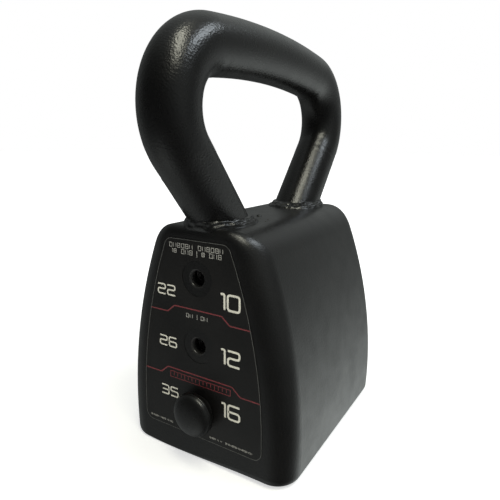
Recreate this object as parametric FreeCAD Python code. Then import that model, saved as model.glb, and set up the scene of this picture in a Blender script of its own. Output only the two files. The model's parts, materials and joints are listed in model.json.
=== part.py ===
"""Adjustable kettlebell: a bent-bar handle welded to an open-bottomed steel shell.

The shell drops over a stack of three cast weights, and a magnetic selector pin goes
through the front plate into the lowest weight that is to be lifted.
Frame: +X to the right, -Y out of the labelled front, +Z up, origin on the floor
under the middle of the shell. All sizes are in millimetres.
"""
import FreeCAD, Part
import math
import os

V = FreeCAD.Vector

# Shell
SHELL_HEIGHT = 158.7
SHELL_DEPTH = 161.0
TOP_HALF_WIDTH = 37.3        # where the side arc would meet the top plane
BOTTOM_HALF_WIDTH = 65.5
SIDE_BULGE = 9.8             # sagitta of each side
TOP_CORNER_RADIUS = 26.0     # between side and top, seen from the front
VERTICAL_EDGE_RADIUS = 17.0  # rolled edge between side and front or rear
TOP_EDGE_RADIUS = 6.0        # edge between top and front or rear
END_RIM_RADIUS = 2.5         # outer edge of the open bottom, front and rear
SIDE_RIM_RADIUS = 6.5        # the same edge along the sides
WALL = 6.35
PAN_DEPTH = 24.0             # front and rear pans, measured along Y
SEAM_BEAD = 4.0              # leg of the weld inside each seam
COVER_HALF = SHELL_DEPTH / 2

# Handle
BAR_RADIUS = 17.5
GRIP_CENTRE_Z = 266.5
GRIP_CROWN = math.radians(6.9)    # half angle of the slightly arched grip
GRIP_HALF_LENGTH = 69.35          # along the arch
BEND_RADIUS = 36.0
BEND_END = math.radians(130.5)    # direction of the leg, down from the grip's
LEG_WELD_WIDTH = 4.6
LEG_WELD_HEIGHT = 5.0
WELD_DROP = 2.5                   # how far the bead runs down the rounded edge

# Selector holes and pin
HOLE_RADIUS = 5.2
HOLE_PITCH = 44.5
LOWEST_HOLE_Z = 38.0
HOLE_CHAMFER = 0.8
HOLE_HEIGHTS = [LOWEST_HOLE_Z + i * HOLE_PITCH for i in range(3)]
PIN_RADIUS = 5.12
PIN_REACH = 40.0                  # from the front face to the pin's tip
PIN_TIP_CHAMFER = 1.5
PIN_HEAD_RADIUS = 7.5
PIN_HEAD_OUT = (7.0, 9.0)         # distances out of the front face
CUP_RADIUS = 10.5
CUP_OUT = (0.05, 4.0)
MAGNET_RADII = (6.3, 9.7)
MAGNET_OUT = (0.35, 3.3)
KNOB_RADIUS = 14.5
KNOB_OUT = (4.0, 8.2, 13.2)       # back face, start of the dome, top of the dome
KNOB_EDGE_RADIUS = 1.0
DOME_STEPS = 10

# Label
LABEL_THICKNESS = 0.25
LABEL_INSET = 18.7                # from the shell's outline, which is then
LABEL_RISE = 7.8                  # raised by this much
LABEL_TOP = 151.2
LABEL_BOTTOM = 17.0
LABEL_CORNER = 6.0
LABEL_CUTOUT_RADIUS = 11.4

# Weights, from the lowest up: bottom, top, casting wall, casting roof
PAD_THICKNESS = 2.0
BASE_PAD_THICKNESS = 3.0
WEIGHT_GAP = 0.5
STACK = {
    "lower": dict(bottom=3.0, top=59.2, wall=16.5, roof=14.0),
    "middle": dict(bottom=61.2, top=103.7, wall=9.2, roof=7.6),
    "upper": dict(bottom=105.7, top=148.7, wall=12.6, roof=9.2),
}
SIDE_CLEARANCE = 3.4              # weight to inner wall, liner included
END_CLEARANCE = 3.0
WEIGHT_EDGE_RADIUS = 8.0
BORE_IN_WEIGHT_RADIUS = 5.8
BORE_IN_WEIGHT_DEPTH = 34.0
PIN_BOSS_HALF_WIDTH = 13.0
PIN_BOSS_DEPTH = 40.0
REAR_BOSS_DEPTH = 24.0

# Dowels, pads and liners
DOWEL_RADIUS = 4.0
DOWEL_SOCKET_RADIUS = 4.4
DOWEL_PROUD = 6.0
DOWEL_SUNK = 9.0
DOWEL_Y = (-56.0, 60.0)
DOWEL_SOCKET_DEPTH = 7.5
PAD_RADIUS = 8.0
PAD_Y = 40.0
LOWER_PAD_X = 46.0
MIDDLE_PAD_X = 37.0
CEILING_PAD_HALF_WIDTH = 14.0
CEILING_PAD_DEPTH = 16.0
LINER_THICKNESS = 1.5
LINER_HALF_DEPTH = 52.0
LINER_HEIGHTS = (8.0, 116.0)
REAR_LINER_HALF_WIDTH = 34.0

CAST_IRON_KG_PER_MM3 = 7.2e-6
STEEL_KG_PER_MM3 = 7.85e-6


def side_circle():
    """Centre (x, z) and radius of the right side's arc, seen from the front."""
    dx = BOTTOM_HALF_WIDTH - TOP_HALF_WIDTH
    chord = math.hypot(dx, SHELL_HEIGHT)
    radius = (chord ** 2 / 4 + SIDE_BULGE ** 2) / (2 * SIDE_BULGE)
    back = radius - SIDE_BULGE
    mid_x = (TOP_HALF_WIDTH + BOTTOM_HALF_WIDTH) / 2
    return mid_x - back * SHELL_HEIGHT / chord, SHELL_HEIGHT / 2 - back * dx / chord, radius


def half_width(z, inset=0.0):
    """Half width of the shell's side arc at height z, moved inwards by inset."""
    cx, cz, radius = side_circle()
    return cx + math.sqrt((radius - inset) ** 2 - (z - cz) ** 2)


def on_circle(cx, cz, radius, angle):
    return (cx + radius * math.cos(angle), cz + radius * math.sin(angle))


def arc(p, q, r):
    return Part.Arc(*[V(a, 0, b) for a, b in (p, q, r)]).toShape()


def line(p, q):
    return Part.makeLine(V(p[0], 0, p[1]), V(q[0], 0, q[1]))


def mirrored(points):
    return [(-x, z) for x, z in points]


def shell_face(inset, bottom, top=SHELL_HEIGHT, corner=TOP_CORNER_RADIUS):
    """Face in the XZ plane bounded by the shell's outline moved inwards by inset."""
    cx, cz, big = side_circle()
    big -= inset
    height = top - inset
    small = corner - inset
    kz = height - small
    kx = cx + math.sqrt((big - small) ** 2 - (kz - cz) ** 2)
    turn = math.atan2(kz - cz, kx - cx)
    low = math.asin((bottom - cz) / big)
    side = [on_circle(cx, cz, big, a) for a in (low, (low + turn) / 2, turn)]
    round_top = [on_circle(kx, kz, small, a) for a in (turn, (turn + math.pi / 2) / 2, math.pi / 2)]
    edges = []
    for points in (side, round_top):
        edges += [arc(*points), arc(*mirrored(points))]
    edges.append(line(round_top[-1], mirrored(round_top)[-1]))
    edges.append(line(side[0], mirrored(side)[0]))
    return Part.Face(Part.Wire(Part.__sortEdges__(edges)))


def prism(face, y_low, y_high):
    face = face.copy()
    face.translate(V(0, y_low, 0))
    return face.extrude(V(0, y_high - y_low, 0))


def rounded_ends(solid, y_end, side_radius, top_radius, corner):
    """Round the front and rear outlines of a prism: side_radius down the sides,
    top_radius across the top, and a smooth change between them round each corner."""
    picked = []
    for number, edge in enumerate(solid.Edges, 1):
        ends = [v.Point for v in edge.Vertexes]
        if any(abs(abs(p.y) - y_end) > 1e-6 for p in ends):
            continue
        if isinstance(edge.Curve, Part.Circle):
            if abs(edge.Curve.Radius - corner) < 1e-6:
                first, last = edge.valueAt(edge.FirstParameter), edge.valueAt(edge.LastParameter)
                radii = (side_radius, top_radius) if first.z < last.z else (top_radius, side_radius)
            else:
                radii = (side_radius, side_radius)
            picked.append((number,) + radii)
        elif ends[0].z > y_end * 0.5 and abs(ends[0].z - ends[1].z) < 1e-6:
            picked.append((number, top_radius, top_radius))
    return rounded_edges(solid, picked)


def rounded_edges(solid, picked):
    """Round the edges given as (number, radius at the first end, radius at the last end)."""
    doc = FreeCAD.newDocument("rounding")
    base = doc.addObject("Part::Feature", "base")
    base.Shape = solid
    rounding = doc.addObject("Part::Fillet", "rounding")
    rounding.Base = base
    rounding.Edges = picked
    doc.recompute()
    result = rounding.Shape.copy()
    FreeCAD.closeDocument("rounding")
    return result


def outer_body():
    body = prism(shell_face(0, 0), -COVER_HALF, COVER_HALF)
    body = rounded_ends(body, COVER_HALF, VERTICAL_EDGE_RADIUS, TOP_EDGE_RADIUS, TOP_CORNER_RADIUS)
    return rounded_rim(body)


def rounded_rim(body):
    """Round the edge of the open bottom, with a smooth change of radius round each corner."""

    def radius_at(point):
        return END_RIM_RADIUS if abs(point.y) > COVER_HALF - 1e-3 else SIDE_RIM_RADIUS

    picked = []
    for number, edge in enumerate(body.Edges, 1):
        ends = edge.valueAt(edge.FirstParameter), edge.valueAt(edge.LastParameter)
        if all(abs(p.z) < 1e-6 for p in ends):
            picked.append((number, radius_at(ends[0]), radius_at(ends[1])))
    return rounded_edges(body, picked)


def inner_body():
    end = COVER_HALF - WALL
    body = prism(shell_face(WALL, -10), -end, end)
    return rounded_ends(body, end, VERTICAL_EDGE_RADIUS - WALL, 2.0, TOP_CORNER_RADIUS - WALL)


def box(x_low, x_high, y_low, y_high, z_low, z_high):
    return Part.makeBox(x_high - x_low, y_high - y_low, z_high - z_low, V(x_low, y_low, z_low))


def slab(y_low, y_high):
    return box(-100, 100, y_low, y_high, -20, 200)


def selector_hole(z):
    """Through hole with a small chamfer on the outside."""
    front = -COVER_HALF
    bore = Part.makeCylinder(HOLE_RADIUS, WALL + 2, V(0, front - 1, z), V(0, 1, 0))
    mouth = Part.makeCone(HOLE_RADIUS + HOLE_CHAMFER, HOLE_RADIUS, HOLE_CHAMFER,
                          V(0, front, z), V(0, 1, 0))
    return bore.fuse(mouth)


def shell_parts(outer, inner):
    """The front pan, the wrap and the rear pan, which meet at two ground-flush seams."""
    seam = COVER_HALF - PAN_DEPTH
    skin = outer.cut(inner)
    front = skin.common(slab(-COVER_HALF - 1, -seam))
    for z in HOLE_HEIGHTS:
        front = front.cut(selector_hole(z))
    return {
        "front_plate": front,
        "shell_wrap": skin.common(slab(-seam, seam)),
        "rear_plate": skin.common(slab(seam, COVER_HALF + 1)),
    }


def seam_weld(inner, y):
    """Low bead on the inside of the shell, over one seam."""
    ring = prism(shell_face(WALL - 0.5, 4.0), y - SEAM_BEAD, y + SEAM_BEAD)
    core = prism(shell_face(WALL + 1.2, -20), y - SEAM_BEAD - 1, y + SEAM_BEAD + 1)
    return ring.cut(core).common(inner)


def handle_path():
    """Centreline of the handle in the YZ plane: grip arch, two bends, two legs."""
    arch_radius = GRIP_HALF_LENGTH / GRIP_CROWN
    arch_z = GRIP_CENTRE_Z - arch_radius
    grip_end = (arch_radius * math.sin(GRIP_CROWN), arch_z + arch_radius * math.cos(GRIP_CROWN))
    bend_y = grip_end[0] - BEND_RADIUS * math.sin(GRIP_CROWN)
    bend_z = grip_end[1] - BEND_RADIUS * math.cos(GRIP_CROWN)

    def on_bend(angle):
        return (bend_y + BEND_RADIUS * math.sin(angle), bend_z + BEND_RADIUS * math.cos(angle))

    bend_mid = on_bend((GRIP_CROWN + BEND_END) / 2)
    bend_end = on_bend(BEND_END)
    leg = (bend_end[1] - (SHELL_HEIGHT - 12)) / math.sin(BEND_END)
    foot = (bend_end[0] + leg * math.cos(BEND_END), bend_end[1] - leg * math.sin(BEND_END))
    return grip_end, bend_mid, bend_end, foot


def yz(point, side=1):
    return V(0, side * point[0], point[1])


def handle_bar(outer):
    grip_end, bend_mid, bend_end, foot = handle_path()
    edges = [Part.makeLine(yz(foot, -1), yz(bend_end, -1)),
             Part.Arc(yz(bend_end, -1), yz(bend_mid, -1), yz(grip_end, -1)).toShape(),
             Part.Arc(yz(grip_end, -1), V(0, 0, GRIP_CENTRE_Z), yz(grip_end)).toShape(),
             Part.Arc(yz(grip_end), yz(bend_mid), yz(bend_end)).toShape(),
             Part.makeLine(yz(bend_end), yz(foot))]
    along = yz(bend_end, -1) - yz(foot, -1)
    circle = Part.Wire(Part.makeCircle(BAR_RADIUS, yz(foot, -1), along))
    bar = Part.Wire(edges).makePipeShell([circle], True, True)
    bar = bar.cut(outer)
    return bar.Solids[0] if len(bar.Solids) == 1 else bar


def ellipse_wire(y, z, half_x, half_y):
    turned = Part.Ellipse(V(0, 0, 0), half_y, half_x).toShape()
    turned.rotate(V(0, 0, 0), V(0, 0, 1), 90)
    turned.translate(V(0, y, z))
    return Part.Wire(turned)


def handle_weld(outer, bar, side):
    """Fillet bead round one leg, wide at the shell and thin where it meets the bar."""
    _, _, bend_end, foot = handle_path()
    slope = (bend_end[0] - foot[0]) / (bend_end[1] - foot[1])

    def section(z, width):
        centre = foot[0] + slope * (z - foot[1])
        stretch = math.hypot(1, slope)
        return ellipse_wire(side * centre, z, BAR_RADIUS + width, BAR_RADIUS * stretch + width)

    low = section(SHELL_HEIGHT - WELD_DROP, LEG_WELD_WIDTH)
    mid = section(SHELL_HEIGHT + LEG_WELD_HEIGHT * 0.4, LEG_WELD_WIDTH * 0.75)
    high = section(SHELL_HEIGHT + LEG_WELD_HEIGHT, 0.5)
    bead = Part.makeLoft([low, mid, high], True)
    bead = bead.cut(outer).cut(bar)
    return max(bead.Solids, key=lambda s: s.Volume)


def label():
    """Thin overlay with rounded corners and a round window at each selector hole."""
    y_back = -COVER_HALF
    bottom = LABEL_BOTTOM - LABEL_RISE
    top = LABEL_TOP - LABEL_RISE + LABEL_INSET
    face = shell_face(LABEL_INSET, bottom, top, LABEL_INSET + LABEL_CORNER)
    face.translate(V(0, 0, LABEL_RISE))
    plate = prism(face, y_back - LABEL_THICKNESS, y_back)
    lower = [e for e in plate.Edges
             if abs(e.Vertexes[0].Z - LABEL_BOTTOM) < 1e-6 and abs(e.Vertexes[1].Z - LABEL_BOTTOM) < 1e-6
             and abs(e.Vertexes[0].Y - e.Vertexes[1].Y) > LABEL_THICKNESS / 2]
    plate = plate.makeFillet(LABEL_CORNER, lower)
    for z in HOLE_HEIGHTS:
        window = Part.makeCylinder(LABEL_CUTOUT_RADIUS, 2, V(0, y_back - 1, z), V(0, 1, 0))
        plate = plate.cut(window)
    return plate


def turned(outline, z):
    """Solid of revolution about the selector pin's axis. Points are (radius, out)."""
    points = [V(r, -COVER_HALF - out, z) for r, out in outline]
    face = Part.Face(Part.makePolygon(points + points[:1]))
    return face.revolve(V(0, 0, z), V(0, 1, 0), 360)


def pin_shaft(z):
    tip = -PIN_REACH
    head_low, head_high = PIN_HEAD_OUT
    return turned([(0, tip), (PIN_RADIUS - PIN_TIP_CHAMFER, tip), (PIN_RADIUS, tip + PIN_TIP_CHAMFER),
                   (PIN_RADIUS, head_low), (PIN_HEAD_RADIUS, head_low), (PIN_HEAD_RADIUS, head_high),
                   (0, head_high)], z)


def ring(radii, out, z):
    inner, outer = radii
    low, high = out
    return turned([(inner, low), (outer, low), (outer, high), (inner, high)], z)


def magnet_cup(z):
    cup = ring((PIN_RADIUS, CUP_RADIUS), CUP_OUT, z)
    return cup.cut(ring(MAGNET_RADII, (CUP_OUT[0], MAGNET_OUT[1]), z))


def pin_knob(z, shaft):
    """Domed knob, moulded round the head of the pin."""
    back, shoulder, crown = KNOB_OUT
    rise = crown - shoulder

    def at(radius, out):
        return V(radius, -COVER_HALF - out, z)

    angles = [math.pi / 2 * i / DOME_STEPS for i in range(DOME_STEPS + 1)]
    dome = [at(KNOB_RADIUS * math.cos(a), shoulder + rise * math.sin(a)) for a in angles]
    curve = Part.BSplineCurve()
    curve.interpolate(dome)
    flat_end = at(KNOB_RADIUS - KNOB_EDGE_RADIUS, back)
    corner = KNOB_EDGE_RADIUS * (1 - math.sqrt(0.5))
    corner_mid = at(KNOB_RADIUS - corner, back + corner)
    wall_start = at(KNOB_RADIUS, back + KNOB_EDGE_RADIUS)
    edges = [Part.makeLine(at(0, back), flat_end),
             Part.Arc(flat_end, corner_mid, wall_start).toShape(),
             Part.makeLine(wall_start, dome[0]),
             curve.toShape(),
             Part.makeLine(dome[-1], at(0, back))]
    knob = Part.Face(Part.Wire(edges)).revolve(V(0, 0, z), V(0, 1, 0), 360)
    return knob.cut(shaft)


def casting_outline(bottom, top, inset):
    """Trapezoid that follows the inside of the shell between two heights."""
    reach = WALL + SIDE_CLEARANCE + inset
    low = min(half_width(bottom, reach), half_width(0, reach))
    high = min(half_width(top, reach), low)
    if top > SHELL_HEIGHT - TOP_CORNER_RADIUS:
        high -= (top - (SHELL_HEIGHT - TOP_CORNER_RADIUS)) ** 2 / (2.3 * TOP_CORNER_RADIUS)
    points = [(-low, bottom), (low, bottom), (high, top), (-high, top)]
    return Part.Face(Part.makePolygon([V(x, 0, z) for x, z in points + points[:1]]))


def weight(bottom, top, wall, roof, hole_z, has_sockets):
    """Cored casting: walls, roof, a boss for the selector pin and a rear boss."""
    end = COVER_HALF - WALL - END_CLEARANCE
    solid = prism(casting_outline(bottom, top, 0), -end, end)
    upright = [e for e in solid.Edges if abs(e.Vertexes[0].Z - e.Vertexes[1].Z) > 5]
    solid = solid.makeFillet(WEIGHT_EDGE_RADIUS, upright)
    pocket = prism(casting_outline(bottom - 1, top, wall), -end + wall, end - wall)
    pocket = pocket.common(box(-100, 100, -100, 100, bottom - 2, top - roof))
    bosses = box(-PIN_BOSS_HALF_WIDTH, PIN_BOSS_HALF_WIDTH, -end, -end + PIN_BOSS_DEPTH, bottom, top)
    bosses = bosses.fuse(box(-PIN_BOSS_HALF_WIDTH, PIN_BOSS_HALF_WIDTH,
                             end - REAR_BOSS_DEPTH, end, bottom, top))
    solid = solid.cut(pocket.cut(bosses))
    bore = Part.makeCylinder(BORE_IN_WEIGHT_RADIUS, BORE_IN_WEIGHT_DEPTH + 1,
                             V(0, -end - 1, hole_z), V(0, 1, 0))
    solid = solid.cut(bore)
    if has_sockets:
        for y in DOWEL_Y:
            socket = Part.makeCylinder(DOWEL_SOCKET_RADIUS, DOWEL_SOCKET_DEPTH, V(0, y, bottom))
            solid = solid.cut(socket)
    return solid


def dowels(top):
    return [Part.makeCylinder(DOWEL_RADIUS, DOWEL_SUNK + DOWEL_PROUD, V(0, y, top - DOWEL_SUNK))
            for y in DOWEL_Y]


def pads(z, spread):
    return [Part.makeCylinder(PAD_RADIUS, PAD_THICKNESS, V(sx * spread, sy * PAD_Y, z))
            for sx in (-1, 1) for sy in (-1, 1)]


def ceiling_pads():
    """Two rubber strips under the top of the shell, just clear of the upper weight."""
    low = STACK["upper"]["top"] + WEIGHT_GAP
    half = CEILING_PAD_DEPTH / 2
    return [box(-CEILING_PAD_HALF_WIDTH, CEILING_PAD_HALF_WIDTH, y - half, y + half,
                low, SHELL_HEIGHT - WALL) for y in (-PAD_Y, PAD_Y)]


def base_pad():
    """Rubber sheet under the lowest weight."""
    end = COVER_HALF - WALL - END_CLEARANCE - 1
    low = half_width(0, WALL + SIDE_CLEARANCE + 1)
    sheet = box(-low, low, -end, end, 0, BASE_PAD_THICKNESS)
    upright = [e for e in sheet.Edges if abs(e.Vertexes[0].Z - e.Vertexes[1].Z) > 1]
    return sheet.makeFillet(WEIGHT_EDGE_RADIUS - 1, upright)


def side_liner(side):
    low, high = LINER_HEIGHTS
    sheet = prism(shell_face(WALL, low), -LINER_HALF_DEPTH, LINER_HALF_DEPTH)
    sheet = sheet.cut(prism(shell_face(WALL + LINER_THICKNESS, -20), -100, 100))
    keep = box(0, 100, -100, 100, low, high) if side > 0 else box(-100, 0, -100, 100, low, high)
    return sheet.common(keep)


def rear_liner():
    back = COVER_HALF - WALL
    low, high = LINER_HEIGHTS
    return box(-REAR_LINER_HALF_WIDTH, REAR_LINER_HALF_WIDTH, back - LINER_THICKNESS, back, low, high)


def build():
    outer = outer_body()
    inner = inner_body()
    nodes = shell_parts(outer, inner)
    seam = COVER_HALF - PAN_DEPTH
    nodes["front_seam_weld"] = seam_weld(inner, -seam)
    nodes["rear_seam_weld"] = seam_weld(inner, seam)
    nodes["handle_bar"] = handle_bar(outer)
    nodes["front_handle_weld"] = handle_weld(outer, nodes["handle_bar"], -1)
    nodes["rear_handle_weld"] = handle_weld(outer, nodes["handle_bar"], 1)
    nodes["label"] = label()

    pin_z = HOLE_HEIGHTS[0]
    nodes["pin_shaft"] = pin_shaft(pin_z)
    nodes["pin_knob"] = pin_knob(pin_z, nodes["pin_shaft"])
    nodes["pin_magnet"] = ring(MAGNET_RADII, MAGNET_OUT, pin_z)
    nodes["pin_magnet_cup"] = magnet_cup(pin_z)

    for (name, sizes), hole_z in zip(STACK.items(), HOLE_HEIGHTS):
        nodes[name + "_weight"] = weight(hole_z=hole_z, has_sockets=name != "lower", **sizes)
    for name in ("lower", "middle"):
        pegs = dowels(STACK[name]["top"])
        nodes[name + "_weight"] = nodes[name + "_weight"].cut(Part.makeCompound(pegs))
        nodes[name + "_dowels"] = Part.makeCompound(pegs)
    nodes["lower_pads"] = Part.makeCompound(pads(STACK["lower"]["top"], LOWER_PAD_X))
    nodes["middle_pads"] = Part.makeCompound(pads(STACK["middle"]["top"], MIDDLE_PAD_X))
    nodes["ceiling_pads"] = Part.makeCompound(ceiling_pads())
    nodes["base_pad"] = base_pad()
    nodes["left_liner"] = side_liner(-1)
    nodes["right_liner"] = side_liner(1)
    nodes["rear_liner"] = rear_liner()
    return nodes


def main():
    os.makedirs("parts", exist_ok=True)
    for name, shape in build().items():
        density = CAST_IRON_KG_PER_MM3 if name.endswith("_weight") else STEEL_KG_PER_MM3
        bounds = shape.BoundBox
        print("%-18s solids %d valid %s  %.2f kg  x %.1f..%.1f y %.1f..%.1f z %.1f..%.1f" % (
            name, len(shape.Solids), shape.isValid(), shape.Volume * density,
            bounds.XMin, bounds.XMax, bounds.YMin, bounds.YMax, bounds.ZMin, bounds.ZMax))
        shape.exportStep("parts/%s.step" % name)


main()
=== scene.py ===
"""Looks of the adjustable kettlebell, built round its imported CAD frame.

Units are metres. -Y is the labelled front, +X is the right side, and the floor is z = 0.
"""

import json
import math
import random

import bpy
from mathutils import Euler, Matrix, Vector, noise
from mathutils.bvhtree import BVHTree


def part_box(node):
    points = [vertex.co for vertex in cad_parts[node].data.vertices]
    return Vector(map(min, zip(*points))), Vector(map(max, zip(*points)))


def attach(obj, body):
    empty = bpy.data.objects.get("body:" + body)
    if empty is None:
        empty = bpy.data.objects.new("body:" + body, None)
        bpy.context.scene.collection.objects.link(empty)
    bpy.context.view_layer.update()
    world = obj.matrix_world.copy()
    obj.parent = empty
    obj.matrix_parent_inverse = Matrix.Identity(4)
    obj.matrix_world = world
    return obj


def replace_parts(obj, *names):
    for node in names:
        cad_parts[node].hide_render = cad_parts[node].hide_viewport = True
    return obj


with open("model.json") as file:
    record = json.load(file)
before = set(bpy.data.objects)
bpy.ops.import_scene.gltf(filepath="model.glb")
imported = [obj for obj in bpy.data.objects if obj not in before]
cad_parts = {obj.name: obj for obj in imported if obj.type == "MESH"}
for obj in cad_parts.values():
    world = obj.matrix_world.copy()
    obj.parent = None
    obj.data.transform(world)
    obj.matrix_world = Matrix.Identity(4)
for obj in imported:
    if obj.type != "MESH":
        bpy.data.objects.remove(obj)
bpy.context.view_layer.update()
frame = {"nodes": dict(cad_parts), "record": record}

MM = 0.001
SHELL = "kettlebell"
PIN = "selector_pin"

# Camera
CAMERA_AZIMUTH = math.radians(31.65)
CAMERA_ELEVATION = math.radians(12.82)
CAMERA_ROLL = math.radians(0.43)
CAMERA_PLACE = Vector((168.38, -292.07, 206.54)) * MM
CAMERA_LENS = 32.88
SENSOR_WIDTH = 36.0

# Handle, as in the CAD model
BAR_RADIUS = 17.5 * MM
GRIP_TOP = 266.5 * MM
GRIP_CROWN = math.radians(6.9)
GRIP_HALF_LENGTH = 69.35 * MM
BEND_RADIUS = 36.0 * MM
BEND_END = math.radians(130.5)
SUNK_INTO_SHELL = 3.0 * MM

SHELL_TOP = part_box("shell_wrap")[1].z
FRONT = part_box("front_plate")[0].y
LABEL_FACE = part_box("label")[0].y
LABEL_FOOT, LABEL_HEAD = [corner.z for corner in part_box("label")]
PIN_Z = sum(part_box("pin_knob")[i].z for i in (0, 1)) / 2


# ---------------------------------------------------------------- materials

class Nodes:
    """One material's node tree, with short calls for the nodes used here."""

    def __init__(self, name):
        self.material = bpy.data.materials.new(name)
        self.material.use_nodes = True
        self.tree = self.material.node_tree
        self.shader = self.tree.nodes["Principled BSDF"]
        self.place = self.add("ShaderNodeTexCoord").outputs["Object"]

    def add(self, kind, settings=None, **inputs):
        node = self.tree.nodes.new(kind)
        for key, value in (settings or {}).items():
            setattr(node, key, value)
        for key, value in inputs.items():
            self.feed(node.inputs[key.replace("_", " ")], value)
        return node

    def feed(self, socket, value):
        if isinstance(value, bpy.types.NodeSocket):
            self.tree.links.new(value, socket)
        else:
            socket.default_value = value

    def noise(self, size, detail=3.0, rough=0.5, stretch=None):
        """Noise whose features are about size metres across."""
        place = self.place
        if stretch:
            place = self.add("ShaderNodeMapping", Vector=place, Scale=stretch).outputs[0]
        return self.add("ShaderNodeTexNoise", Vector=place, Scale=1 / size, Detail=detail,
                        Roughness=rough).outputs[0]

    def cells(self, size, smooth=0.6):
        """Rounded cells, as in a pebbled surface."""
        return self.add("ShaderNodeTexVoronoi", {"feature": "SMOOTH_F1"}, Vector=self.place,
                        Scale=1 / size, Smoothness=smooth).outputs[0]

    def spread(self, value, low, high, start=0.3, end=0.7):
        """value, from start to end, spread over low to high."""
        return self.add("ShaderNodeMapRange", Value=value, From_Min=start, From_Max=end,
                        To_Min=low, To_Max=high).outputs[0]

    def blend(self, amount, first, second):
        mix = self.add("ShaderNodeMix", {"data_type": "RGBA"})
        for index, value in ((0, amount), (6, first), (7, second)):
            self.feed(mix.inputs[index], value)
        return mix.outputs[2]

    def relief(self, *layers):
        """Bump from (height, depth in metres) pairs, the broadest first."""
        normal = None
        for height, depth in layers:
            bump = self.add("ShaderNodeBump", Height=height, Distance=depth)
            if normal:
                self.feed(bump.inputs["Normal"], normal)
            normal = bump.outputs[0]
        self.feed(self.shader.inputs["Normal"], normal)

    def finish(self, **inputs):
        for key, value in inputs.items():
            self.feed(self.shader.inputs[key.replace("_", " ")], value)
        return self.material


def grey(value, warmth=0.0):
    return (value * (1 + warmth), value, value * (1 - warmth), 1.0)


def powder_coat(name, tone, roughness, grain, grain_depth, specular=0.5):
    """Black powder coat: fine pebbled grain on a slightly wavy skin."""
    nodes = Nodes(name)
    patches = nodes.spread(nodes.noise(0.045, 4), 0, 1)
    skin = nodes.blend(patches, grey(tone * 0.85), grey(tone * 1.2, 0.03))
    gloss = nodes.spread(nodes.noise(0.012, 4), roughness - 0.04, roughness + 0.04)
    nodes.relief((nodes.noise(0.02, 2), 25e-6),
                 (nodes.noise(grain * 2.2, 2), grain_depth * 0.3),
                 (nodes.cells(grain, 0.4), grain_depth))
    return nodes.finish(Base_Color=skin, Roughness=gloss, Specular_IOR_Level=specular)


def weld_coat():
    """Glossier coat over a rough bead."""
    nodes = Nodes("weld_coat")
    patches = nodes.spread(nodes.noise(0.004, 4), 0, 1)
    skin = nodes.blend(patches, grey(0.004), grey(0.010))
    gloss = nodes.spread(nodes.noise(0.003, 3), 0.24, 0.42)
    nodes.relief((nodes.noise(0.0045, 2), 70e-6), (nodes.noise(0.0009, 2), 10e-6))
    return nodes.finish(Base_Color=skin, Roughness=gloss, Specular_IOR_Level=0.58)


def film():
    """Screen-printed polyester overlay, charcoal, with a fine matte tooth."""
    nodes = Nodes("label_film")
    patches = nodes.spread(nodes.noise(0.03, 3), 0, 1)
    skin = nodes.blend(patches, grey(0.005, 0.06), grey(0.0078, 0.08))
    gloss = nodes.spread(nodes.noise(0.006, 4), 0.40, 0.47)
    nodes.relief((nodes.noise(0.009, 2), 12e-6), (nodes.noise(0.00035, 2), 6e-6))
    return nodes.finish(Base_Color=skin, Roughness=gloss, Specular_IOR_Level=0.5)


def ink(name, colour, thin):
    """Printed ink, a little thinner here and there."""
    nodes = Nodes(name)
    cover = nodes.spread(nodes.noise(0.0012, 4), 0, 1, 0.2, 0.6)
    skin = nodes.blend(cover, thin, colour)
    gloss = nodes.spread(nodes.noise(0.002, 2), 0.42, 0.5)
    nodes.relief((nodes.noise(0.0004, 2), 5e-6))
    return nodes.finish(Base_Color=skin, Roughness=gloss)


def moulded_plastic(name, tone, roughness):
    """Black moulded plastic with a fine spark-eroded texture."""
    nodes = Nodes(name)
    patches = nodes.spread(nodes.noise(0.01, 4), 0, 1)
    skin = nodes.blend(patches, grey(tone * 0.9), grey(tone * 1.15, 0.02))
    gloss = nodes.spread(nodes.noise(0.003, 3), roughness - 0.04, roughness + 0.05)
    nodes.relief((nodes.noise(0.005, 2), 15e-6), (nodes.cells(0.00045), 9e-6))
    return nodes.finish(Base_Color=skin, Roughness=gloss)


def turned_steel(name, tone, roughness, line):
    """Bright metal with fine turning lines across the pin's axis."""
    nodes = Nodes(name)
    lines = nodes.noise(line, 2, stretch=(0.15, 6.0, 0.15))
    stain = nodes.spread(nodes.noise(0.006, 4), 0, 1)
    skin = nodes.blend(stain, grey(tone * 0.85, 0.03), grey(tone))
    gloss = nodes.spread(lines, roughness - 0.05, roughness + 0.08)
    nodes.relief((lines, 6e-6))
    return nodes.finish(Base_Color=skin, Roughness=gloss, Metallic=1.0)


def cast_iron():
    """Black enamel brushed over a sand casting."""
    nodes = Nodes("weight_coat")
    grain = nodes.noise(0.0022, 5, 0.6)
    dust = nodes.spread(nodes.noise(0.02, 5), 0, 1, 0.45, 0.75)
    skin = nodes.blend(dust, grey(0.06), grey(0.11, 0.05))
    gloss = nodes.spread(grain, 0.42, 0.62)
    nodes.relief((nodes.noise(0.012, 3), 300e-6), (grain, 160e-6))
    return nodes.finish(Base_Color=skin, Roughness=gloss)


def rubber():
    nodes = Nodes("rubber")
    dust = nodes.spread(nodes.noise(0.015, 5), 0, 1, 0.45, 0.8)
    skin = nodes.blend(dust, grey(0.017), grey(0.035, 0.05))
    gloss = nodes.spread(nodes.noise(0.004, 3), 0.62, 0.78)
    nodes.relief((nodes.noise(0.0009, 3), 30e-6))
    return nodes.finish(Base_Color=skin, Roughness=gloss)


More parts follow.
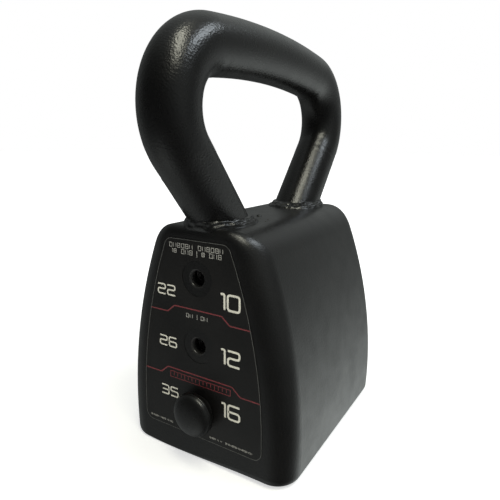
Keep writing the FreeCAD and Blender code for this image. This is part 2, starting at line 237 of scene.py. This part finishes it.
def liner():
    """Natural polyethylene sheet with rub marks down it."""
    nodes = Nodes("liner_plastic")
    rubs = nodes.spread(nodes.noise(0.006, 4, stretch=(1, 1, 0.08)), 0, 1)
    skin = nodes.blend(rubs, grey(0.5, 0.04), grey(0.62, 0.02))
    gloss = nodes.spread(rubs, 0.38, 0.55)
    nodes.relief((rubs, 20e-6))
    return nodes.finish(Base_Color=skin, Roughness=gloss)


def make_materials():
    return {
        "handle_coat": powder_coat("handle_coat", 0.004, 0.27, 0.0011, 100e-6),
        "shell_coat": powder_coat("shell_coat", 0.006, 0.34, 0.0011, 60e-6),
        "worn_coat": powder_coat("worn_coat", 0.02, 0.30, 0.0005, 6e-6, 0.6),
        "weld_coat": weld_coat(),
        "label_film": film(),
        "print_light": ink("print_light", (0.72, 0.69, 0.58, 1), (0.55, 0.53, 0.45, 1)),
        "print_fine": ink("print_fine", (0.38, 0.37, 0.33, 1), (0.22, 0.21, 0.19, 1)),
        "print_faint": ink("print_faint", (0.11, 0.11, 0.10, 1), (0.06, 0.06, 0.055, 1)),
        "print_red": ink("print_red", (0.21, 0.026, 0.030, 1), (0.14, 0.022, 0.025, 1)),
        "knob_plastic": moulded_plastic("knob_plastic", 0.006, 0.30),
        "pin_steel": turned_steel("pin_steel", 0.6, 0.22, 0.0012),
        "magnet_nickel": turned_steel("magnet_nickel", 0.68, 0.12, 0.0008),
        "cup_steel": powder_coat("cup_steel", 0.012, 0.35, 0.0004, 10e-6),
        "weight_coat": cast_iron(),
        "rubber": rubber(),
        "liner_plastic": liner(),
    }


def dress_frame(materials):
    """Give each CAD node the material of its slot in the record."""
    for part in frame["record"]["subparts"]:
        node = frame["nodes"][part["node"]]
        node.data.materials.clear()
        node.data.materials.append(materials[part["material_slot"]])


# ---------------------------------------------------------------- mesh tools

def new_piece(name, verts, faces, material, slot, body=SHELL, smooth=True):
    mesh = bpy.data.meshes.new(name)
    mesh.from_pydata([tuple(v) for v in verts], [], faces)
    mesh.polygons.foreach_set("use_smooth", [smooth] * len(mesh.polygons))
    mesh.materials.append(material)
    piece = bpy.data.objects.new(name, mesh)
    bpy.context.scene.collection.objects.link(piece)
    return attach(piece, body)


class Shape:
    """Vertices and faces of a piece, gathered part by part."""

    def __init__(self):
        self.verts = []
        self.faces = []

    def grid(self, rows, closed=True, capped=False):
        """Skin over rows of points. closed joins each row's ends, capped fills the first and last."""
        base = len(self.verts)
        width = len(rows[0])
        for row in rows:
            self.verts += row
        for i in range(len(rows) - 1):
            for j in range(width if closed else width - 1):
                a, b = base + i * width + j, base + i * width + (j + 1) % width
                self.faces.append((a, b, b + width, a + width))
        if capped:
            self.faces.append(tuple(base + j for j in reversed(range(width))))
            last = base + (len(rows) - 1) * width
            self.faces.append(tuple(last + j for j in range(width)))
        return self

    def piece(self, name, material, slot, **options):
        return new_piece(name, self.verts, self.faces, material, slot, **options)


def bell(x, centre, width):
    return math.exp(-((x - centre) / width) ** 2)


def step_up(x, start, end):
    t = min(1.0, max(0.0, (x - start) / (end - start)))
    return t * t * (3 - 2 * t)


# ---------------------------------------------------------------- handle

def handle_corners():
    """Arch radius, centre of the bend, end of the bend and the leg's direction, in (y, z)."""
    arch = GRIP_HALF_LENGTH / GRIP_CROWN
    grip_end = Vector((arch * math.sin(GRIP_CROWN), GRIP_TOP - arch * (1 - math.cos(GRIP_CROWN))))
    bend = grip_end - BEND_RADIUS * Vector((math.sin(GRIP_CROWN), math.cos(GRIP_CROWN)))
    end = bend + BEND_RADIUS * Vector((math.sin(BEND_END), math.cos(BEND_END)))
    return arch, bend, end, Vector((math.cos(BEND_END), -math.sin(BEND_END)))


def handle_stations():
    """(centre, outward, place) along one half, from the grip's middle to the bend's end."""
    arch, bend, _, _ = handle_corners()
    stations = []
    grip_steps, bend_steps = 40, 72
    for i in range(grip_steps):
        angle = GRIP_CROWN * i / grip_steps
        out = Vector((math.sin(angle), math.cos(angle)))
        centre = Vector((0, GRIP_TOP - arch)) + arch * out
        stations.append((centre, out, arch * (angle - GRIP_CROWN)))
    for i in range(bend_steps + 1):
        angle = GRIP_CROWN + (BEND_END - GRIP_CROWN) * i / bend_steps
        out = Vector((math.sin(angle), math.cos(angle)))
        stations.append((bend + BEND_RADIUS * out, out, BEND_RADIUS * (angle - GRIP_CROWN)))
    return stations


BEND_LENGTH = BEND_RADIUS * (BEND_END - GRIP_CROWN)
DIE_MARK = 0.16 * MM


def bar_radius(place, around, side):
    """Radius with the marks that bending leaves: a die step at each end of a bend, on its
    inner half, and shallow wrinkles in the crook. around is 0 on the outside of the bend."""
    inner = step_up(-math.cos(around), -0.2, 0.9)
    grip_step = bell(place, -3 * MM, 1.3 * MM) - 0.6 * bell(place, -6 * MM, 2.2 * MM)
    leg_step = bell(place, BEND_LENGTH + 9 * MM, 0.9 * MM)
    leg_step -= 0.7 * bell(place, BEND_LENGTH + 7 * MM, 1.6 * MM)
    wrinkle = math.sin(place / (3.1 * MM) + side) * bell(place, BEND_LENGTH * 0.42, 14 * MM)
    sway = noise.noise(Vector((place * 40, math.sin(around) * 1.2, side * 3.0)))
    flank = step_up(math.sin(around) * side_face(side), -0.6, 0.8)
    return (BAR_RADIUS - 0.08 * MM + DIE_MARK * (inner * grip_step + flank * leg_step)
            + 0.03 * MM * inner * wrinkle + 0.03 * MM * sway)


def side_face(side):
    return 1.0 if side > 0 else -1.0


def handle_row(centre, out, place, side, count):
    row = []
    for j in range(count):
        around = 2 * math.pi * j / count
        reach = bar_radius(place, around, side)
        offset = out * (reach * math.cos(around))
        x = reach * math.sin(around)
        row.append(Vector((x, side * (centre.x + offset.x), centre.y + offset.y)))
    return row


def leg_rows(side, count, steps=60):
    """The straight leg. Each line along it ends on one level plane just inside the shell's top."""
    _, _, end, down = handle_corners()
    out = Vector((math.sin(BEND_END), math.cos(BEND_END)))
    floor = SHELL_TOP - SUNK_INTO_SHELL
    rows = []
    for i in range(1, steps + 1):
        row = []
        for j in range(count):
            around = 2 * math.pi * j / count
            start = end + out * (BAR_RADIUS * math.cos(around))
            length = (start.y - floor) / -down.y * i / steps
            reach = bar_radius(BEND_LENGTH + length, around, side)
            point = end + out * (reach * math.cos(around)) + down * length
            row.append(Vector((reach * math.sin(around), side * point.x, point.y)))
        rows.append(row)
    return rows


def handle_bar(material):
    count = 112
    halves = []
    for side in (-1, 1):
        rows = [handle_row(*station, side, count) for station in handle_stations()]
        halves.append(rows + leg_rows(side, count))
    rows = list(reversed(halves[0])) + halves[1][1:]
    shape = Shape().grid(rows, capped=True)
    piece = shape.piece("bent_handle", material, "handle_coat")
    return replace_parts(piece, "handle_bar")


# ---------------------------------------------------------------- welds

def shell_surface():
    """Height of the shell's outside at (x, y), read from the CAD plates."""
    trees = []
    for name in ("front_plate", "shell_wrap", "rear_plate"):
        mesh = frame["nodes"][name].data
        trees.append(BVHTree.FromPolygons([v.co for v in mesh.vertices],
                                          [p.vertices for p in mesh.polygons]))

    def height(x, y):
        hits = [tree.ray_cast(Vector((x, y, 0.3)), Vector((0, 0, -1)))[0] for tree in trees]
        return max((hit.z for hit in hits if hit is not None), default=SHELL_TOP)

    return height


EDGE_REACH = -FRONT - 0.9 * MM    # how far out the toes may run over the rounded edge
BEAD_WIDTH = 4.9 * MM
BEAD_RISE = 4.4 * MM
THINNEST_BEAD = 1.6 * MM
BEAD_RUNS = 2


def rough(x, y, z, scale):
    return noise.noise(Vector((x, y, z)) * scale)


def leg_at(level):
    """How far the leg's axis is from the middle of the shell, at a height over its top."""
    _, _, end, down = handle_corners()
    return end.x + down.x * (end.y - SHELL_TOP - level) / -down.y


def weld_bead(name, node, side, height, material):
    """Fillet bead in two overlapping runs round the leg, with uneven toes."""
    around_steps, across_steps = 420, 26
    rows = []
    for i in range(around_steps):
        angle = 2 * math.pi * i / around_steps
        turn = Vector((math.cos(angle), math.sin(angle)))
        width = BEAD_WIDTH * (1 + 0.22 * rough(turn.x, turn.y, side * 4.0, 2.4))
        outwards = turn.y * side
        if outwards > 0.25:
            room = (EDGE_REACH - leg_at(0) - BAR_RADIUS * bar_stretch() * outwards) / outwards
            width = min(width, max(THINNEST_BEAD, room))
        rise = BEAD_RISE * (1 + 0.2 * rough(turn.x, turn.y, side * 9.0, 3.1))
        rows.append([bead_point(turn, angle, k / across_steps, side, width, rise, height)
                     for k in range(across_steps + 1)])
    rows = [list(column) for column in zip(*rows)]
    shape = Shape().grid(rows if side > 0 else rows[::-1])
    piece = shape.piece(name, material, "weld_coat")
    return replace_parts(piece, node)


def bar_stretch():
    """Length of the level section through the leg, against its width."""
    _, _, _, down = handle_corners()
    return 1 / abs(down.y)


def bead_point(turn, angle, s, side, width, rise, height):
    """Point on the bead: s is 0 at the toe on the shell and 1 at the toe on the bar."""
    crown = math.sin(math.pi * s)
    drift = 0.10 * rough(turn.x, turn.y, side * 2.0, 2.2)
    runs = 0.5 - 0.5 * math.cos(2 * math.pi * (BEAD_RUNS * s + drift * 3))
    ripple = 0.5 + 0.5 * math.sin(angle * 46 + 4 * s + 3 * rough(turn.x, turn.y, s, 3.0))
    lump = rough(turn.x * 1.3, turn.y * 1.3, s * 0.4 + side, 4.2)
    swell = crown * (0.6 + 0.6 * runs + 0.05 * ripple + 1.2 * lump) * MM
    level = rise * s ** 1.15
    reach = BAR_RADIUS - 0.35 * MM + width * (1 - s) ** 1.15 + swell * 0.75
    x = reach * turn.x
    y = side * leg_at(level) + (reach + (bar_stretch() - 1) * BAR_RADIUS) * turn.y
    foot = height(x, max(-EDGE_REACH, min(EDGE_REACH, y)))
    foot = foot * (1 - s) + SHELL_TOP * s
    return Vector((x, y, foot - 0.25 * MM * (1 - s) + level + swell * 0.7))


# Across, along and radius, in mm from the middle of the shell's top
LARGE_DROPLETS = [(6.7, -18.1, 1.9), (20.5, -29.0, 0.8)]


def spatter(height, material):
    """Droplets that the welding threw on the shell's top, melted flat at the foot."""
    rng = random.Random(7)
    shape = Shape()
    spots = list(LARGE_DROPLETS)
    foot = leg_at(0) / MM
    for side in (-1, 1):
        for _ in range(6):
            angle = rng.uniform(-0.2, math.pi + 0.2)
            away = rng.uniform(25.0, 30.0)
            spots.append((away * math.cos(angle) * 0.95,
                          side * (foot - (away + 5) * math.sin(angle)), rng.uniform(0.25, 0.5)))
    for x, y, radius in spots:
        droplet(shape, x * MM, y * MM, radius * MM, height)
    return shape.piece("weld_spatter", material, "weld_coat")


def droplet(shape, x, y, radius, height):
    rings, count = 5, 14
    rows = []
    for i in range(rings):
        tilt = math.pi / 2 * i / rings
        row = []
        for j in range(count):
            turn = 2 * math.pi * j / count
            reach = radius * math.cos(tilt) * (1 + 0.12 * rough(turn, tilt, x * 900, 1.0))
            px, py = x + reach * math.cos(turn), y + reach * math.sin(turn)
            row.append(Vector((px, py, height(px, py) - 0.05 * MM + 0.7 * radius * math.sin(tilt))))
        rows.append(row)
    top = Vector((x, y, height(x, y) - 0.05 * MM + 0.7 * radius))
    rows.append([top.copy() for _ in range(count)])
    shape.grid(rows)


# ---------------------------------------------------------------- printing

PRINT_DEPTH = 0.05 * MM
CORNER_STEPS = 5


def rounded(points, radius, closed=False):
    """The path with its corners rounded."""
    points = [Vector(p) for p in points]
    count = len(points)
    path = []
    for i, here in enumerate(points):
        if not closed and i in (0, count - 1):
            path.append(here)
            continue
        back, ahead = points[i - 1] - here, points[(i + 1) % count] - here
        cut = min(radius, back.length * 0.49, ahead.length * 0.49)
        first, last = here + back.normalized() * cut, here + ahead.normalized() * cut
        for k in range(CORNER_STEPS + 1):
            u = k / CORNER_STEPS
            path.append(first * (1 - u) ** 2 + here * (2 * u * (1 - u)) + last * u ** 2)
    return path


def stroke(shape, path, width, closed=False):
    """A printed line of that width along the path, in (x, z) on the label's face."""
    count = len(path)
    rows = []
    for i, here in enumerate(path):
        before = path[i - 1] if closed or i > 0 else here * 2 - path[i + 1]
        after = path[(i + 1) % count] if closed or i < count - 1 else here * 2 - before
        first, second = (here - before).normalized(), (after - here).normalized()
        normal = Vector((-first.y - second.y, first.x + second.x)) / (1 + first.dot(second))
        left, right = here + normal * width / 2, here - normal * width / 2
        rows.append([Vector((p.x, y, p.y)) for p, y in (
            (left, LABEL_FACE - PRINT_DEPTH), (right, LABEL_FACE - PRINT_DEPTH),
            (right, LABEL_FACE), (left, LABEL_FACE))])
    if closed:
        rows.append([p.copy() for p in rows[0]])
    shape.grid(rows, capped=not closed)


# Strokes of each figure in a cell one unit wide and one high; the first word says
# whether the stroke's ends meet.
FIGURES = {
    "0": [(True, [(0, 0), (1, 0), (1, 1), (0, 1)])],
    "1": [(False, [(0, 0.97), (0.3, 1), (1, 1), (1, 0)])],
    "2": [(False, [(0, 1), (1, 1), (1, 0.52), (0, 0.52), (0, 0), (1, 0)])],
    "3": [(False, [(0, 1), (1, 1), (1, 0), (0, 0)]), (False, [(0.12, 0.5), (1, 0.5)])],
    "5": [(False, [(1, 1), (0, 1), (0, 0.55), (1, 0.55), (1, 0), (0, 0)])],
    "6": [(False, [(1, 1), (0, 1), (0, 0), (1, 0), (1, 0.52), (0, 0.52)])],
    "8": [(True, [(0, 0), (1, 0), (1, 1), (0, 1)]), (False, [(0, 0.5), (1, 0.5)])],
}
NARROW = {"1": 0.32}


def number(shape, text, left, bottom, size, line, gap):
    """Figures on the label's face: left and bottom of the ink, size of a figure's ink."""
    wide, high = size[0] - line, size[1] - line
    x = left + line / 2
    for figure in text:
        across = wide * NARROW.get(figure, 1.0)
        for closed, points in FIGURES[figure]:
            path = [(x + px * across, bottom + line / 2 + pz * high) for px, pz in points]
            stroke(shape, rounded(path, high * 0.21, closed), line, closed)
        x += across + line + gap


HOLE_PITCH = 44.5 * MM
SETTING_ROWS = [PIN_Z + i * HOLE_PITCH for i in range(3)]


# Foot of each printed setting, from the middle of its hole
KILO_DROP = {"16": 0.8 * MM, "12": -7.3 * MM, "10": -16.4 * MM}
POUND_DROP = {"35": 2.6 * MM, "26": -5.8 * MM, "22": -14.5 * MM}
KILO_LEFT, KILO_SIZE, KILO_LINE, KILO_GAP = 17.2 * MM, (9.8 * MM, 11.0 * MM), 1.4 * MM, 0.95 * MM
POUND_LEFT, POUND_SIZE, POUND_LINE, POUND_GAP = -32.4 * MM, (7.1 * MM, 7.4 * MM), 0.98 * MM, 0.87 * MM


def printed_numbers(material):
    """The three settings, kilograms on the right and pounds on the left."""
    shape = Shape()
    for z, kilos, pounds in zip(SETTING_ROWS, ("16", "12", "10"), ("35", "26", "22")):
        number(shape, kilos, KILO_LEFT, z + KILO_DROP[kilos], KILO_SIZE, KILO_LINE, KILO_GAP)
        number(shape, pounds, POUND_LEFT, z + POUND_DROP[pounds], POUND_SIZE, POUND_LINE, POUND_GAP)
    return shape.piece("printed_numbers", material, "print_light", smooth=False)


MARK_CYCLE = ("box", "upright_bars", "barred_box", "box", "barred_box", "upright_bars")
MARK_PITCH, MARK_HEIGHT, MARK_WIDTH = 1.33, 1.1, 0.84    # against the mark's size


def mark_path(*points):
    return [Vector(p) for p in points]


def marks(shape, left, right, z, size, line, rng, gap_chance=0.0):
    """A row of small neutral marks where small type would be: boxes and pairs of bars."""
    high, wide = size * MARK_HEIGHT, size * MARK_WIDTH
    for i in range(int((right - left - size) / (size * MARK_PITCH)) + 1):
        x = left + size * MARK_PITCH * i
        if rng.random() < gap_chance:
            continue
        kind = MARK_CYCLE[i % len(MARK_CYCLE)]
        if kind == "upright_bars":
            for place in (x, x + wide):
                stroke(shape, mark_path((place, z), (place, z + high)), line)
        else:
            corners = mark_path((x, z), (x + wide, z), (x + wide, z + high), (x, z + high))
            stroke(shape, corners, line, closed=True)
        if kind == "barred_box":
            stroke(shape, mark_path((x, z + high / 2), (x + wide, z + high / 2)), line)


HEADER_ROW, HEADER_LOWER_ROW = LABEL_HEAD - 6.0 * MM, LABEL_HEAD - 9.6 * MM
HEADER_FIGURES_ROW = LABEL_HEAD - 9.7 * MM
HEADER_BAR_FOOT, HEADER_BAR_HEAD = LABEL_HEAD - 10.5 * MM, LABEL_HEAD - 6.6 * MM
HEADER_MARK, HEADER_LINE = 2.4 * MM, 0.36 * MM
HEADER_FIGURE_LINE = 0.45 * MM
UNITS_ROW, UNITS_MARK, UNITS_LINE = SETTING_ROWS[1] + 18.3 * MM, 2.2 * MM, 0.34 * MM
UNITS_BAR_FOOT, UNITS_BAR_HEAD = UNITS_ROW - 0.4 * MM, UNITS_ROW + 2.8 * MM
FOOT_ROW, FOOT_MARK, FOOT_LINE, FOOT_GAPS = LABEL_FOOT + 3.5 * MM, 0.95 * MM, 0.22 * MM, 0.2


def small_print(material):
    """Two rows at the label's head, with plain numbers, and one row between the upper settings."""
    rng = random.Random(3)
    shape = Shape()

    def header_marks(left, right, z):
        marks(shape, left * MM, right * MM, z, HEADER_MARK, HEADER_LINE, rng)

    def units_marks(left, right):
        marks(shape, left * MM, right * MM, UNITS_ROW, UNITS_MARK, UNITS_LINE, rng)

    header_marks(-21.0, -1.6, HEADER_ROW)
    header_marks(1.6, 20.9, HEADER_ROW)
    number(shape, "18", -19.3 * MM, HEADER_FIGURES_ROW, (2.3 * MM, 2.7 * MM), HEADER_FIGURE_LINE, 0.55 * MM)
    header_marks(-11.5, -2.0, HEADER_LOWER_ROW)
    stroke(shape, mark_path((0.5 * MM, HEADER_BAR_FOOT), (0.5 * MM, HEADER_BAR_HEAD)), 0.4 * MM)
    number(shape, "8", 4.0 * MM, HEADER_FIGURES_ROW, (2.4 * MM, 2.7 * MM), HEADER_FIGURE_LINE, 0.5 * MM)
    header_marks(10.0, 19.4, HEADER_LOWER_ROW)
    units_marks(-8.8, -3.0)
    stroke(shape, mark_path((-0.2 * MM, UNITS_BAR_FOOT), (-0.2 * MM, UNITS_BAR_HEAD)), 0.36 * MM)
    units_marks(2.8, 9.4)
    return shape.piece("printed_header", material, "print_light", smooth=False)


def foot_print(material):
    """Fine row at the label's foot, on both sides of the knob."""
    rng = random.Random(5)
    shape = Shape()
    for left, right in ((-43.0, -21.5), (8.2, 42.0)):
        marks(shape, left * MM, right * MM, FOOT_ROW, FOOT_MARK, FOOT_LINE, rng, FOOT_GAPS)
    return shape.piece("printed_foot_line", material, "print_light", smooth=False)


# Each red line, in mm: its level over the hole under it, the rise of its middle, and how far the
# middle, kink and end reach
RED_LINES = [(19.1, 5.0, 18.4, 24.4, 38.6), (18.8, 5.2, 25.8, 31.8, 45.9)]
RED_LINE_WIDTH = 0.78 * MM


def red_lines(material):
    """Lines between the settings, raised in the middle."""
    shape = Shape()
    for hole, (level, rise, plateau, kink, end) in zip((SETTING_ROWS[1], SETTING_ROWS[0]), RED_LINES):
        half = [(plateau, level + rise), (kink, level), (end, level)]
        path = [(-x, z) for x, z in reversed(half)] + half
        path = [Vector(p) * MM + Vector((0, hole)) for p in path]
        stroke(shape, rounded(path, 1.0 * MM), RED_LINE_WIDTH)
    return shape.piece("printed_red_lines", material, "print_red", smooth=False)


def red_scale(material):
    """A neutral graduated band between the red line and the lowest setting."""
    shape = Shape()
    ticks, long_tick_every, short_tick_cut, line = 17, 4, 1.2 * MM, 0.45 * MM
    left, right, foot, head = -23.6 * MM, 24.6 * MM, PIN_Z + 17.5 * MM, PIN_Z + 21.6 * MM
    for level in (foot, head):
        stroke(shape, mark_path((left, level), (right, level)), line)
    for i in range(ticks):
        x = left + (right - left) * i / (ticks - 1)
        low = foot if i % long_tick_every == 0 else foot + short_tick_cut
        stroke(shape, mark_path((x, low), (x, head)), line)
    return shape.piece("printed_red_scale", material, "print_red", smooth=False)


def label_border(material):
    """Thin line just inside the label's edge."""
    inset, line = 0.55 * MM, 0.3 * MM
    mesh = frame["nodes"]["label"].data
    face = {}
    for v in mesh.vertices:
        if v.co.y < LABEL_FACE + 0.02 * MM:
            face[(round(v.co.x, 6), round(v.co.z, 6))] = Vector((v.co.x, v.co.z))
    inside = [Vector((0, z)) for z in SETTING_ROWS]
    window = 11.6 * MM
    edge = [p for p in face.values() if all((p - c).length > window for c in inside)]
    middle = Vector((0, (LABEL_FOOT + LABEL_HEAD) / 2))
    edge.sort(key=lambda p: math.atan2(p.y - middle.y, p.x - middle.x))
    path = [p + (middle - p).normalized() * inset for p in edge]
    shape = Shape()
    stroke(shape, path, line, closed=True)
    return shape.piece("printed_border", material, "print_light", smooth=False)


# ---------------------------------------------------------------- knob and foot pad

def knob(material):
    """Domed knob with a soft shoulder and a fine parting line. The profile gives the reach and the
    depth behind the crown, against the knob's radius and depth."""
    low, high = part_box("pin_knob")
    radius = (high.x - low.x) / 2
    crown, back = low.y, high.y
    deep = back - crown
    profile = [(0.42, 1.0), (0.90, 1.0), (0.955, 0.985), (0.985, 0.95), (0.995, 0.90),
               (0.998, 0.66), (1.0, 0.655), (1.0, 0.635), (0.997, 0.63),
               (0.992, 0.55), (0.975, 0.46), (0.94, 0.37), (0.885, 0.275), (0.80, 0.185),
               (0.69, 0.115), (0.56, 0.066), (0.42, 0.034), (0.28, 0.014), (0.16, 0.005),
               (0.07, 0.001), (0.01, 0.0)]
    count = 96
    rows = []
    for reach, depth in profile:
        rows.append([Vector((radius * reach * math.cos(2 * math.pi * j / count),
                             crown + deep * depth,
                             PIN_Z + radius * reach * math.sin(2 * math.pi * j / count)))
                     for j in range(count)])
    shape = Shape().grid(rows, capped=True)
    piece = shape.piece("domed_knob", material, "knob_plastic", body=PIN)
    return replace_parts(piece, "pin_knob")


# Radius and depth behind the front face, in mm, round the closed section of a lip
LIP_SECTION = [(6.05, -0.03), (5.9, 0.04), (5.55, 0.42), (5.17, 0.80), (5.17, 6.2), (5.35, 6.2),
               (5.35, 1.1), (6.1, 0.3)]


def hole_lips(material):
    """Lips of the selector holes, polished where the pin has rubbed."""
    shape = Shape()
    count = 72
    for z in SETTING_ROWS:
        rows = []
        for radius, depth in LIP_SECTION + LIP_SECTION[:1]:
            rows.append([Vector((radius * MM * math.cos(2 * math.pi * j / count), FRONT + depth * MM,
                                 z + radius * MM * math.sin(2 * math.pi * j / count)))
                         for j in range(count)])
        shape.grid(rows)
    return shape.piece("worn_hole_lips", material, "shell_coat")


def base_tread(material):
    """Rubber foot pad with a moulded tread of low pips under it."""
    low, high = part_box("base_pad")
    corner, lip, pip = 7.0 * MM, 0.9 * MM, 2.6 * MM
    thick = high.z - low.z
    half_x, half_y = high.x, high.y

    def outline(inset, z):
        row = []
        for sx, sy, start in ((1, -1, -90), (1, 1, 0), (-1, 1, 90), (-1, -1, 180)):
            centre = Vector((sx * (half_x - corner), sy * (half_y - corner)))
            for k in range(9):
                angle = math.radians(start + 90 * k / 8)
                row.append(Vector((centre.x + (corner - inset) * math.cos(angle),
                                   centre.y + (corner - inset) * math.sin(angle), z)))
        return row

    shape = Shape()
    shape.grid([outline(0.5 * MM, lip), outline(0, lip + 0.5 * MM), outline(0, thick - 0.4 * MM),
                outline(0.4 * MM, thick)], capped=True)
    across, along = 15, 18
    for i in range(across):
        for j in range(along):
            x = (half_x - 5 * MM) * (2 * i / (across - 1) - 1)
            y = (half_y - 5 * MM) * (2 * j / (along - 1) - 1)
            rows = []
            for size, z in ((pip, lip + 0.1 * MM), (pip * 0.92, 0.3 * MM), (pip * 0.75, 0.0)):
                rows.append([Vector((x + size * a, y + size * b, z))
                             for a, b in ((-0.7, -0.7), (-0.7, 0.7), (0.7, 0.7), (0.7, -0.7))])
            shape.grid(rows, capped=True)
    piece = shape.piece("treaded_base_pad", material, "rubber", smooth=False)
    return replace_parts(piece, "base_pad")


# ---------------------------------------------------------------- stage

def heading(azimuth, elevation):
    """Unit vector: azimuth 0 points out of the front, 90 to the right side."""
    a, e = math.radians(azimuth), math.radians(elevation)
    return Vector((math.sin(a) * math.cos(e), -math.cos(a) * math.cos(e), math.sin(e)))


# Soft patches of the room that the coat reflects: azimuth, elevation, tightness, brightness
ROOM = [
    (150, -38, 10, 1.35),     # bright floor behind and to the right
    (150, 0, 10, 0.12),       # foot of the wall behind
    (-85, -40, 6, 0.25),      # floor on the left
    (-25, -55, 14, 0.45),     # floor in front
    (90, 10, 8, 0.25),        # wall on the right
    (60, 30, 8, 0.15),        # card beside the warm lamp
    (180, 30, 8, 0.30),       # wall behind
    (-150, 40, 6, 0.20),      # upper wall, back left
    (-90, 15, 8, 0.12),       # wall on the left
    (0, 90, 6, 0.40),         # ceiling
]
ROOM_BASE = (0.008, 0.008, 0.009)
ROOM_TINT = (0.97, 1.03, 1.0)


def room():
    """World light: soft patches for the coat to reflect, plain white to the camera."""
    world = bpy.data.worlds.new("room")
    bpy.context.scene.world = world
    world.use_nodes = True
    tree = world.node_tree
    tree.nodes.clear()

    def add(kind, operation=None, values=()):
        node = tree.nodes.new(kind)
        if operation:
            node.operation = operation
        for socket, value in zip(node.inputs, values):
            if isinstance(value, bpy.types.NodeSocket):
                tree.links.new(value, socket)
            else:
                socket.default_value = value
        return node

    way = add("ShaderNodeTexCoord").outputs["Generated"]
    total = add("ShaderNodeVectorMath", "ADD", (ROOM_BASE, (0, 0, 0))).outputs[0]
    for azimuth, elevation, tight, bright in ROOM:
        toward = heading(azimuth, elevation)
        near = add("ShaderNodeVectorMath", "DOT_PRODUCT", (way, toward)).outputs["Value"]
        power = add("ShaderNodeMath", "MULTIPLY_ADD", (near, tight, -tight)).outputs[0]
        glow = add("ShaderNodeMath", "EXPONENT", (power,)).outputs[0]
        scaled = add("ShaderNodeMath", "MULTIPLY", (glow, bright)).outputs[0]
        total = add("ShaderNodeVectorMath", "ADD", (total, scaled)).outputs[0]
    total = add("ShaderNodeVectorMath", "MULTIPLY", (total, ROOM_TINT)).outputs[0]
    lit = tree.nodes.new("ShaderNodeBackground")
    tree.links.new(total, lit.inputs["Color"])
    plain = tree.nodes.new("ShaderNodeBackground")
    plain.inputs["Color"].default_value = (1, 1, 1, 1)
    seen = tree.nodes.new("ShaderNodeLightPath").outputs["Is Camera Ray"]
    mix = tree.nodes.new("ShaderNodeMixShader")
    out = tree.nodes.new("ShaderNodeOutputWorld")
    tree.links.new(seen, mix.inputs[0])
    tree.links.new(lit.outputs[0], mix.inputs[1])
    tree.links.new(plain.outputs[0], mix.inputs[2])
    tree.links.new(mix.outputs[0], out.inputs["Surface"])


LAMP_AIM = Vector((0, 0, 0.2))


def lamp(name, azimuth, elevation, distance, size, colour, power, twist=0.0):
    """Soft rectangular lamp aimed at the handle."""
    data = bpy.data.lights.new(name, "AREA")
    data.shape = "RECTANGLE"
    data.size, data.size_y = size
    data.color = colour
    data.energy = power
    lamp_object = bpy.data.objects.new(name, data)
    bpy.context.scene.collection.objects.link(lamp_object)
    way = heading(azimuth, elevation)
    lamp_object.location = LAMP_AIM + way * distance
    turn = way.to_track_quat("Z", "Y").to_matrix().to_4x4() @ Matrix.Rotation(twist, 4, "Z")
    lamp_object.rotation_euler = turn.to_euler()
    lamp_object.visible_camera = False


def floor():
    """Pale glowing floor, a little darker close to the object: a painted soft shadow dims its glow there,
    where the object's real soft shadow also falls.
    """
    half = 12.0
    painted_shadow_from, painted_shadow_to = 0.12, 0.5    # distance from the origin over which the floor brightens
    mesh = bpy.data.meshes.new("floor")
    mesh.from_pydata([(-half, -half, 0), (half, -half, 0), (half, half, 0), (-half, half, 0)],
                     [], [(0, 1, 2, 3)])
    piece = bpy.data.objects.new("floor", mesh)
    bpy.context.scene.collection.objects.link(piece)
    nodes = Nodes("floor")
    length = nodes.add("ShaderNodeVectorMath", {"operation": "LENGTH"}, Vector=nodes.place)
    # Painted soft shadow: the floor's glow is dimmer close to the object and rises to full further out.
    glow = nodes.spread(length.outputs["Value"], 0.62, 1.02, painted_shadow_from, painted_shadow_to)
    tone = nodes.blend(nodes.noise(0.3, 2), grey(0.80), grey(0.82))
    mesh.materials.append(nodes.finish(Base_Color=tone, Roughness=0.9, Emission_Color=(1, 1, 1, 1),
                                       Emission_Strength=glow, Specular_IOR_Level=0.0))
    piece.visible_glossy = False


def camera():
    data = bpy.data.cameras.new("camera")
    data.lens = CAMERA_LENS
    data.sensor_width = SENSOR_WIDTH
    data.clip_start, data.clip_end = 0.01, 100
    viewer = bpy.data.objects.new("camera", data)
    bpy.context.scene.collection.objects.link(viewer)
    turn = Euler((math.pi / 2 - CAMERA_ELEVATION, 0, CAMERA_AZIMUTH)).to_matrix().to_4x4()
    turn = turn @ Matrix.Rotation(CAMERA_ROLL, 4, "Z")
    viewer.location = CAMERA_PLACE
    viewer.rotation_euler = turn.to_euler()
    bpy.context.scene.camera = viewer


def stage():
    bpy.context.scene.view_settings.view_transform = "Standard"
    room()
    floor()
    lamp("warm_lamp", 52, 65, 1.4, (0.34, 0.95), (1.0, 0.99, 0.83), 10.0, math.radians(10))
    lamp("cool_lamp", 119, 49, 1.6, (0.95, 0.36), (0.86, 0.94, 1.0), 9.0)
    camera()


# ---------------------------------------------------------------- assembly

def build():
    materials = make_materials()
    dress_frame(materials)
    handle_bar(materials["handle_coat"])
    height = shell_surface()
    weld_bead("front_weld_bead", "front_handle_weld", -1, height, materials["weld_coat"])
    weld_bead("rear_weld_bead", "rear_handle_weld", 1, height, materials["weld_coat"])
    spatter(height, materials["weld_coat"])
    printed_numbers(materials["print_light"])
    small_print(materials["print_fine"])
    foot_print(materials["print_fine"])
    label_border(materials["print_faint"])
    red_lines(materials["print_red"])
    red_scale(materials["print_red"])
    knob(materials["knob_plastic"])
    hole_lips(materials["worn_coat"])
    base_tread(materials["rubber"])
    stage()


build()
